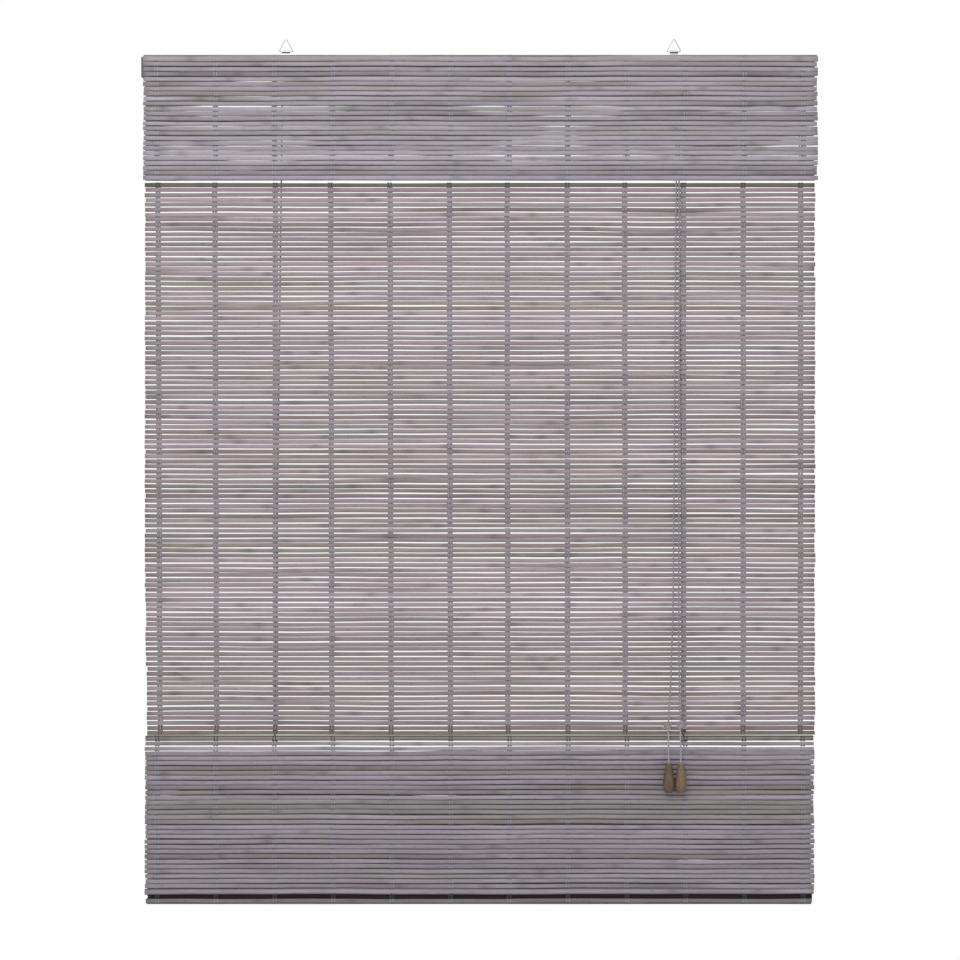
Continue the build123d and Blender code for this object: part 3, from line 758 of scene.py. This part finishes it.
def slat_shift(stretch, x, s, bow):
    """How far each station of a slat has moved along the weave."""
    edge = min(s, stretch.length - s) / EASE
    shift = creep(x, s, stretch.length, stretch.creep_amount, stretch.phase)
    own = stretch.row_amount * rng.uniform(-1, 1) * min(1.0, edge)
    return shift + bow * min(1.0, BOW_AT_FOLD + edge) + own + stretch.set_back(s, x)


def slat_points(place, x, along, out):
    """The vertices of a slat whose sections reach along the weave and out of it."""
    y, z, angle = place
    points = np.empty((STATIONS, len(SECTION), 3))
    points[..., 0] = x[:, None]
    points[..., 1] = y - along * math.sin(angle) - out * math.cos(angle)
    points[..., 2] = z - along * math.cos(angle) + out * math.sin(angle)
    return points.reshape(-1, 3)


def slat_wash(stretch, picks, fade, light, dark_mark, edge_factor):
    """The colour at each vertex of a slat: two washes that fade into each other, or a darker colour over
    them, with painted shade on its back and on dim edges.
    """
    share = (1 / (1 + np.exp(-FADE_STEEPNESS * fade)))[:, None]
    tint = WASHES[picks[0]] * (1 - share) + WASHES[picks[1]] * share
    if dark_mark:
        tint = (1 - DARK_MARK_SHARE) * tint + DARK_MARK_SHARE * np.array(linear(dark_mark)[:3])
    tint = tint * stretch.tint * light[:, None]
    # Painted shade: the back of each slat is darker, and an odd row is darker along its edges
    by_edge = np.where(np.abs(SECTION[:, 0]) > EDGE_ZONE * SLAT_HEIGHT, edge_factor, 1.0)
    shade = np.where(SECTION[:, 1] > 0, 1.0, UNDERSIDE_SHADE) * by_edge
    colour = np.ones((STATIONS, len(SECTION), 4))
    colour[..., :3] = (tint[:, None, :] * shade[None, :, None]).clip(DARKEST, PALEST)
    return colour.reshape(-1, 4)


def slat_mesh(stretch):
    """All the slats of a stretch in one piece."""
    count = len(stretch.distances)
    vertices, wash, faces = [], [], []
    bow = stretch.bow_amount * slow_noise(count, knots=6).clip(-BOW_LIMIT, BOW_LIMIT)
    height = 1 + HEIGHT_SPREAD * slow_noise(count, knots=9).clip(*HEIGHT_LIMITS)
    tilt = TILT_SPREAD * slow_noise(count, knots=4)
    fade = slow_noise(count, knots=10)
    light = 1 + ROW_LIGHT * rng.normal(size=count)[:, None] + SLOW_LIGHT * slow_noise(count, knots=14)
    picks = rng.choice(len(WASHES), size=(count, 2), p=WASH_SHARES)
    for i, s in enumerate(stretch.distances):
        sides = stretch.sides(s) if callable(stretch.sides) else stretch.sides
        left = -MAT_HALF - sides[0] + RAGGED_LEFT * rng.random()
        right = MAT_HALF + sides[1] - RAGGED_RIGHT * rng.random()
        x = np.linspace(left, right, STATIONS)
        dark_mark, height_factor, edge_factor, pushed = stretch.odd.get(i, PLAIN_ROW)
        shift = slat_shift(stretch, x, s, bow[i]) + pushed
        node_at = rng.random(NODES) - MAT_HALF
        near_node = np.exp(-((x[:, None] - node_at[None, :]) / NODE_LENGTH) ** 2).max(axis=1)
        along = SECTION[None, :, 0] * height[i][:, None] * stretch.taller * height_factor
        out = SECTION[None, :, 1] + along * tilt[i][:, None]
        along = along * (1 + NODE_SWELLING * near_node[:, None]) + shift[:, None]
        vertices.append(slat_points(stretch.place(s), x, along, out))
        wash.append(slat_wash(stretch, picks[i], fade[i], light[i] * (1 - NODE_DARKENING * near_node), dark_mark,
                              edge_factor))
        faces += tube_faces(STATIONS, len(SECTION), first=i * STATIONS * len(SECTION))
    piece = mesh_piece(f"{stretch.name}_slats", np.concatenate(vertices), faces, BAMBOO,
                       wash=np.concatenate(wash))
    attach(piece, stretch.body)
    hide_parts(f"{stretch.name}_mat")
    return piece


for stretch in stretches:
    piece = slat_mesh(stretch)
print("faces in the last piece:", len(piece.data.polygons))

# %% [markdown]
# ## Warp threads
# In each column two pairs of threads hold the slats. One thread of a pair runs in front of the slats
# and its partner behind them. In every gap both dip inwards and swing to opposite sides, and the sides
# change from one gap to the next, so the two seem to cross. A thread is pressed flat where it lies on a
# slat, and painted shade makes it dark in the gaps, at the shoulders and over the darker rows, which
# gives the column its braided look: pale over the slats and dark between them.

# %% Thread meshes
THREAD_COLUMNS = 12
THREAD_MARGIN = 0.018
PAIR_SPREAD = 0.0020
GAP_SPLAY = 0.0012
THREAD_HALF_WIDTH = 0.00046
THREAD_HALF_THICKNESS = 0.00028
OVER_SLAT = SLAT_THICKNESS / 2 + 0.0002
GAP_STEP, SHOULDER_STEP = -0.5, 0.30
FRONT_STEPS = (GAP_STEP, -SHOULDER_STEP, 0.0, SHOULDER_STEP)
BACK_STEPS = (GAP_STEP, -0.2, 0.2)
OPEN_STEPS = (GAP_STEP, 0.0)
GAP_DIP, SHOULDER_DIP, GAP_WIDENING, SHOULDER_LEVEL = 0.22, 0.80, 2.0, 0.75
FRONT_SIDES, BACK_SIDES = 6, 5
WAVER, WAVER_DOWN, WAVER_ACROSS = 0.0004, 70, 9

# How far each column of thread on the main mat is off its place, at the mat's top and at the last fold
COLUMN_TOP = np.array([0.5, -2.2, 1.2, -4.3, -3.4, -2.4, -3.7, -1.9, -3.3, -3.0, -1.5, -3.1]) / 1000
COLUMN_FOOT = np.array([4.4, 1.2, 1.5, -1.8, -1.0, -0.3, -2.1, -0.6, -2.4, -2.7, -1.6, -3.7]) / 1000
MAT_TOP_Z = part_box("upper_mat")[1].z
column_x = np.linspace(-MAT_HALF + THREAD_MARGIN, MAT_HALF - THREAD_MARGIN, THREAD_COLUMNS)


def column_drift(column, z):
    """A column of thread on the main mat isn't quite straight: its sideways shift at a height."""
    share = (MAT_TOP_Z - z) / (MAT_TOP_Z - last_fold)
    return COLUMN_TOP[column] * (1 - share) + COLUMN_FOOT[column] * share


def strand(stretch, column, side, front):
    """One thread down a stretch: the vertices, how pale each is after painted shade, and the number of sides
    and stations.
    """
    x = column_x[column]
    ring = np.linspace(0, 2 * math.pi, FRONT_SIDES if front > 0 else BACK_SIDES, endpoint=False)
    row_steps = FRONT_STEPS if front > 0 else BACK_STEPS
    vertices, pale = [], []
    for i, s in enumerate(sorted(stretch.distances + stretch.open_rows)):
        is_open = s in stretch.open_rows
        painted_shade_row = stretch.odd.get(i, PLAIN_ROW)[0]
        for step in OPEN_STEPS if is_open else row_steps:
            at = s + step * PITCH
            moved = at + creep(x, s, stretch.length, stretch.creep_amount, stretch.phase)
            y, z, angle = stretch.place(min(max(moved, 0.0), stretch.length))
            sway, dip, wide, level = side * PAIR_SPREAD, 1.0, THREAD_HALF_WIDTH, 1.0
            # Painted shade: the thread is dark in every gap and at an open row, dimmer at the shoulders, and
            # dark over a row with a darker colour
            if is_open or step == GAP_STEP:
                sway += GAP_SPLAY * (-1) ** i * front
                dip, wide, level = GAP_DIP, THREAD_HALF_WIDTH * GAP_WIDENING, 0.0
            elif abs(step) == SHOULDER_STEP:
                dip, level = SHOULDER_DIP, SHOULDER_LEVEL
            if painted_shade_row:
                level = 0.0
            drift = column_drift(column, z) if stretch.drifts else 0.0
            waver = WAVER * math.sin(WAVER_DOWN * at + WAVER_ACROSS * x)
            ring_x = x + drift + sway + waver + wide * np.cos(ring)
            ring_out = front * OVER_SLAT * dip + THREAD_HALF_THICKNESS * np.sin(ring)
            vertices.append(np.column_stack([ring_x, y - ring_out * math.cos(angle),
                                             z + ring_out * math.sin(angle)]))
            pale.append(np.full(len(ring), level * stretch.thread_level))
    return np.concatenate(vertices), np.concatenate(pale), len(ring), len(vertices)


def thread_mesh(stretch):
    """All the threads of a stretch in one piece."""
    vertices, pale, faces = [], [], []
    first = 0
    for column in range(THREAD_COLUMNS):
        for side in (-1, 1):
            for front in (1, -1):
                points, shade, sides, stations = strand(stretch, column, side, front)
                faces += tube_faces(stations, sides, first=first)
                first += len(points)
                vertices.append(points)
                pale.append(shade)
    piece = mesh_piece(f"{stretch.name}_warp", np.concatenate(vertices), faces, THREAD,
                       lit=np.concatenate(pale))
    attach(piece, stretch.body)
    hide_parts(f"{stretch.name}_threads")
    return piece


for stretch in stretches:
    piece = thread_mesh(stretch)
print("thread faces in the hem:", len(piece.data.polygons))

# %% [markdown]
# ## Finish the solid pieces
# The rail, battens, pulls, rings and metalwork already have their true shapes in the solids, so they
# stay and only take their materials.

# %% Materials on the solids
FINISHES = {"head_rail": PINE, "bottom_batten": PINE_PAINTED_AS_SHADE, "lift_batten": PINE,
            "wooden_pull_left": LEFT_PULL_WOOD, "wooden_pull_right": RIGHT_PULL_WOOD,
            "cross_cord_left": CORD, "cross_cord_right": CORD}
for name, node in frame["nodes"].items():
    finish = FINISHES.get(name)
    if name.startswith("guide_rings"):
        finish = NYLON
    if name.startswith(("hanging_loop", "hanger_strap", "strap_screws", "screw_eye")):
        finish = STEEL
    if finish:
        node.data.materials.clear()
        node.data.materials.append(finish)
print("solids finished:", len([n for n in frame["nodes"].values() if not n.hide_render]))

# %% [markdown]
# ## Light, floor and background
# A blind hangs in front of a window, and its photograph has a white ground with daylight in every gap.
# The world is white for rays from the camera, and for rays that leave steel as a reflection, but only a
# soft fill for everything else. One broad lamp high in front gives each slat a lit dome and a shaded
# underside. The floor is where it would be under a window, two metres below the rail.

# %% World
FILL = 0.62


def white_ground(tree, direct, seen):
    """A mix factor that is 1 for camera, glossy and transmitted rays."""
    path = add(tree, "ShaderNodeLightPath").outputs
    glossy = add(tree, "ShaderNodeMath", {"operation": "ADD"}, _0=path["Is Camera Ray"],
                 _1=path["Is Glossy Ray"])
    every = add(tree, "ShaderNodeMath", {"operation": "ADD", "use_clamp": True}, _0=glossy.outputs[0],
                _1=path["Is Transmission Ray"])
    return add(tree, "ShaderNodeMixShader", _0=every.outputs[0], _1=direct, _2=seen).outputs[0]


world = bpy.data.worlds.new("studio")
world.use_nodes = True
world.node_tree.nodes.clear()
fill = add(world.node_tree, "ShaderNodeBackground", color=(1, 1, 1, 1), strength=FILL).outputs[0]
ground = add(world.node_tree, "ShaderNodeBackground", color=(1, 1, 1, 1), strength=1.0).outputs[0]
add(world.node_tree, "ShaderNodeOutputWorld", surface=white_ground(world.node_tree, fill, ground))
scene.world = world
scene.view_settings.view_transform = "Standard"
print("fill light:", FILL)

# %% Lamp and floor
LAMP_POWER = 34.0
LAMP_SIZE = 1.6
LAMP_PLACE = (-0.5, -2.4, 1.2)
LAMP_AIM = (0.0, 0.0, -0.6)
FLOOR_DROP = -2.1
FLOOR_HALF = 2.6

lamp = bpy.data.lights.new("lamp", "AREA")
lamp.energy = LAMP_POWER
lamp.size = LAMP_SIZE
lamp_object = bpy.data.objects.new("lamp", lamp)
lamp_object.location = LAMP_PLACE
aim = [b - a for a, b in zip(LAMP_PLACE, LAMP_AIM)]
lamp_object.rotation_euler = (math.atan2(math.hypot(aim[0], aim[1]), -aim[2]), 0, -math.atan2(aim[0], aim[1]))
scene.collection.objects.link(lamp_object)

floor_material, floor_tree = new_material("pale_painted_floor")
matt = add(floor_tree, "ShaderNodeBsdfDiffuse", color=linear("#f4f3f1")).outputs[0]
add(floor_tree, "ShaderNodeOutputMaterial", surface=matt)
corners = [(-FLOOR_HALF, -FLOOR_HALF, FLOOR_DROP), (FLOOR_HALF, -FLOOR_HALF, FLOOR_DROP),
           (FLOOR_HALF, FLOOR_HALF, FLOOR_DROP), (-FLOOR_HALF, FLOOR_HALF, FLOOR_DROP)]
floor = mesh_piece("floor", corners, [(0, 1, 2, 3)], floor_material)
print("lamp", LAMP_POWER, "W at", LAMP_PLACE)
